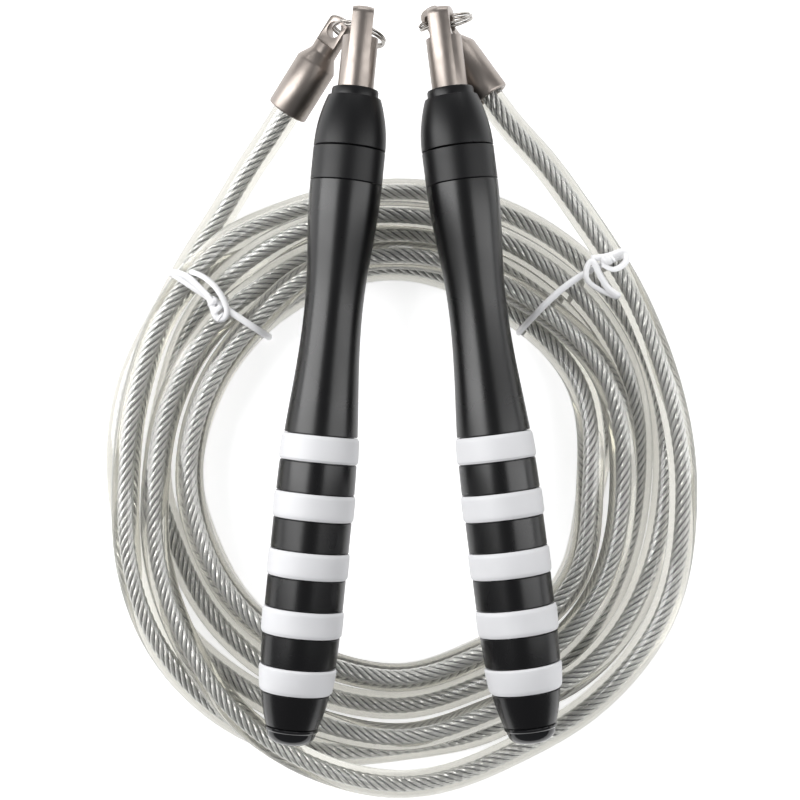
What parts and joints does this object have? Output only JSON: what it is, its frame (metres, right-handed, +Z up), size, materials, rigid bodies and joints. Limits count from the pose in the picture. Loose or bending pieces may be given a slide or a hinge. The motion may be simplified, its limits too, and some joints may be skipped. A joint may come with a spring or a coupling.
{
  "type": "jump rope",
  "caption": "Heavy jump rope with ball-bearing handles: clear-sheathed wire rope coiled and tied, grips lying on the coil, linked by split rings.",
  "frame": {"origin": "on the coil's flat underside, in the middle of the rope bundle nearest the handle butts", "axes": "+Z up, away from the surface that the coil lies on; +Y towards the spindles; +X towards the right handle"},
  "size_m": [0.193, 0.249, 0.0435],
  "materials": {
    "clear_sheath": "clear extruded PVC over bright wire rope",
    "satin_steel": "turned and satin polished stainless steel",
    "polished_ring": "polished nickel-plated spring wire",
    "bearing_steel": "ground bearing steel",
    "cage_brass": "pressed brass cage",
    "matte_collar": "matte black moulded plastic",
    "satin_grip": "satin black moulded plastic",
    "gloss_plug": "glossy black moulded plastic",
    "band_rubber": "pale silicone rubber",
    "white_tie": "white plastic-covered wire"
  },
  "bodies": {
    "rope": {"rope_coil": "clear_sheath", "left_rope_tail": "clear_sheath", "left_ferrule": "satin_steel", "left_twist_tie": "white_tie", "right_rope_tail": "clear_sheath", "right_ferrule": "satin_steel", "right_twist_tie": "white_tie"},
    "left_split_ring": {"left_key_ring": "polished_ring"},
    "left_swivel": {"left_spindle": "satin_steel", "left_spacer": "satin_steel", "left_thrust_washer": "satin_steel", "left_lock_nut": "satin_steel", "left_front_inner_race": "bearing_steel", "left_rear_inner_race": "bearing_steel"},
    "left_ball_cages": {"left_front_ball_cage": "cage_brass", "left_rear_ball_cage": "cage_brass"},
    "left_handle": {"left_nose_collar": "matte_collar", "left_bearing_housing": "matte_collar", "left_handle_body": "satin_grip", "left_grip_band_1": "band_rubber", "left_grip_band_2": "band_rubber", "left_grip_band_3": "band_rubber", "left_grip_band_4": "band_rubber", "left_grip_band_5": "band_rubber", "left_end_plug": "gloss_plug", "left_front_outer_race": "bearing_steel", "left_rear_outer_race": "bearing_steel"},
    "right_split_ring": {"right_key_ring": "polished_ring"},
    "right_swivel": {"right_spindle": "satin_steel", "right_spacer": "satin_steel", "right_thrust_washer": "satin_steel", "right_lock_nut": "satin_steel", "right_front_inner_race": "bearing_steel", "right_rear_inner_race": "bearing_steel"},
    "right_ball_cages": {"right_front_ball_cage": "cage_brass", "right_rear_ball_cage": "cage_brass"},
    "right_handle": {"right_nose_collar": "matte_collar", "right_bearing_housing": "matte_collar", "right_handle_body": "satin_grip", "right_grip_band_1": "band_rubber", "right_grip_band_2": "band_rubber", "right_grip_band_3": "band_rubber", "right_grip_band_4": "band_rubber", "right_grip_band_5": "band_rubber", "right_end_plug": "gloss_plug", "right_front_outer_race": "bearing_steel", "right_rear_outer_race": "bearing_steel"}
  },
  "joints": [
    {"name": "left_ring_swing", "type": "hinge", "parent": "rope", "child": "left_split_ring", "pos_m": [-0.01984, 0.21998, 0.01929], "axis": [-0.4752, 0.0565, 0.878], "range_deg": [0, 10]},
    {"name": "left_spindle_lift", "type": "hinge", "parent": "left_split_ring", "child": "left_swivel", "pos_m": [-0.01179, 0.21871, 0.03092], "axis": [-0.9996, 0.0297, 0], "range_deg": [0, 90]},
    {"name": "left_handle_spin", "type": "hinge", "parent": "left_swivel", "child": "left_handle", "pos_m": [-0.0137, 0.1996, 0.03092], "axis": [0.0993, 0.9951, 0], "continuous": true},
    {"name": "left_cage_orbit", "type": "hinge", "parent": "left_swivel", "child": "left_ball_cages", "pos_m": [-0.0137, 0.1996, 0.03092], "axis": [0.0993, 0.9951, 0], "continuous": true},
    {"name": "right_ring_swing", "type": "hinge", "parent": "rope", "child": "right_split_ring", "pos_m": [0.01089, 0.22368, 0.01656], "axis": [-0.7755, -0.5312, 0.3411], "range_deg": [0, 10]},
    {"name": "right_spindle_lift", "type": "hinge", "parent": "right_split_ring", "child": "right_swivel", "pos_m": [0.01299, 0.21865, 0.03092], "axis": [-0.9984, -0.0558, 0], "range_deg": [0, 90]},
    {"name": "right_handle_spin", "type": "hinge", "parent": "right_swivel", "child": "right_handle", "pos_m": [0.0154, 0.1996, 0.03092], "axis": [-0.1253, 0.9921, 0], "continuous": true},
    {"name": "right_cage_orbit", "type": "hinge", "parent": "right_swivel", "child": "right_ball_cages", "pos_m": [0.0154, 0.1996, 0.03092], "axis": [-0.1253, 0.9921, 0], "continuous": true}
  ],
  "couplings": [
    {"joint": "left_cage_orbit", "follows": "left_handle_spin", "ratio": 0.582},
    {"joint": "right_cage_orbit", "follows": "right_handle_spin", "ratio": 0.582}
  ]
}
